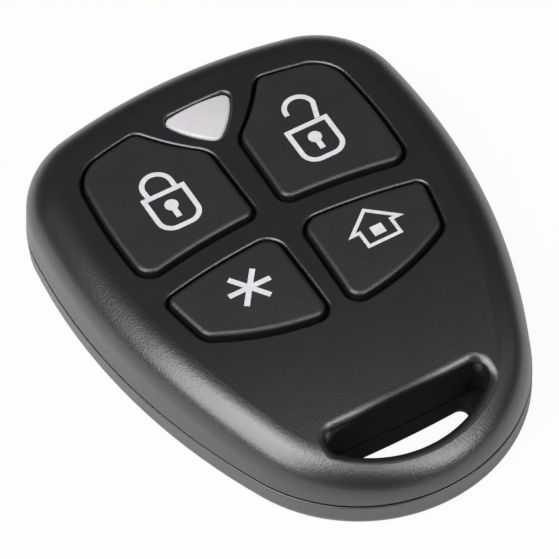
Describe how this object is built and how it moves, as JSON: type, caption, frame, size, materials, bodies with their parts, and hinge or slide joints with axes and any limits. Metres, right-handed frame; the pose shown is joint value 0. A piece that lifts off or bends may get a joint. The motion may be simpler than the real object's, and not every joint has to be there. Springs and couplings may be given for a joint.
{
  "type": "alarm remote control",
  "caption": "Pebble-shaped plastic alarm remote control with thumb keys for locking, unlocking and other functions, an indicator lens and a crescent slot for a key ring.",
  "frame": {"origin": "centre of the bounding box's underside, on the flat rear face the remote rests on", "axes": "+Z out of the key face, +Y towards the wide end with the indicator lens, -Y towards the key-ring slot, +X to the right when the keys are read upright"},
  "size_m": [0.044, 0.0578, 0.0102],
  "materials": {
    "casing": "fine moulded grain, satin",
    "key": "fine moulded grain, satin",
    "lens": "polished, milky",
    "board": "solder resist over glass epoxy",
    "copper": "tinned copper track",
    "led_body": "moulded white resin",
    "led_window": "clear resin",
    "cell_steel": "nickel-plated, satin",
    "cell_filling": "pressed powder and foil",
    "black_plastic": "moulded",
    "spring_steel": "stamped sheet",
    "tinned_steel": "tin-plated",
    "ceramic": "fired ceramic",
    "resonator_steel": "plated lid",
    "screw_steel": "blackened",
    "plunger_plastic": "moulded"
  },
  "bodies": {
    "casing": {"front_shell": "casing", "rear_shell": "casing", "indicator_lens": "lens", "circuit_board": "board", "loop_antenna": "copper", "status_led": "led_body", "led_window": "led_window", "cell_can": "cell_steel", "cell_cap": "cell_steel", "cell_gasket": "black_plastic", "cell_electrodes": "cell_filling", "cell_clip": "spring_steel", "cell_leaf": "spring_steel", "encoder_chip": "black_plastic", "chip_leads": "tinned_steel", "chip_resistors": "black_plastic", "chip_capacitors": "ceramic", "transistor": "black_plastic", "resonator": "resonator_steel", "trimmer_body": "ceramic", "trimmer_rotor": "tinned_steel", "switch_terminals": "tinned_steel", "case_screw": "screw_steel", "lock_switch_base": "black_plastic", "lock_switch_cover": "tinned_steel", "lock_switch_dome": "spring_steel", "unlock_switch_base": "black_plastic", "unlock_switch_cover": "tinned_steel", "unlock_switch_dome": "spring_steel", "star_switch_base": "black_plastic", "star_switch_cover": "tinned_steel", "star_switch_dome": "spring_steel", "home_switch_base": "black_plastic", "home_switch_cover": "tinned_steel", "home_switch_dome": "spring_steel"},
    "lock_button": {"lock_key": "key", "lock_switch_plunger": "plunger_plastic"},
    "unlock_button": {"unlock_key": "key", "unlock_switch_plunger": "plunger_plastic"},
    "star_button": {"star_key": "key", "star_switch_plunger": "plunger_plastic"},
    "home_button": {"home_key": "key", "home_switch_plunger": "plunger_plastic"}
  },
  "joints": [
    {"name": "lock_press", "type": "slide", "parent": "casing", "child": "lock_button", "axis": [0, 0, -1], "range_m": [0, 0.00025], "stiffness_N_per_m": 6000, "deforming": ["lock_switch_dome"]},
    {"name": "unlock_press", "type": "slide", "parent": "casing", "child": "unlock_button", "axis": [0, 0, -1], "range_m": [0, 0.00025], "stiffness_N_per_m": 6000, "deforming": ["unlock_switch_dome"]},
    {"name": "star_press", "type": "slide", "parent": "casing", "child": "star_button", "axis": [0, 0, -1], "range_m": [0, 0.00025], "stiffness_N_per_m": 6000, "deforming": ["star_switch_dome"]},
    {"name": "home_press", "type": "slide", "parent": "casing", "child": "home_button", "axis": [0, 0, -1], "range_m": [0, 0.00025], "stiffness_N_per_m": 6000, "deforming": ["home_switch_dome"]}
  ]
}
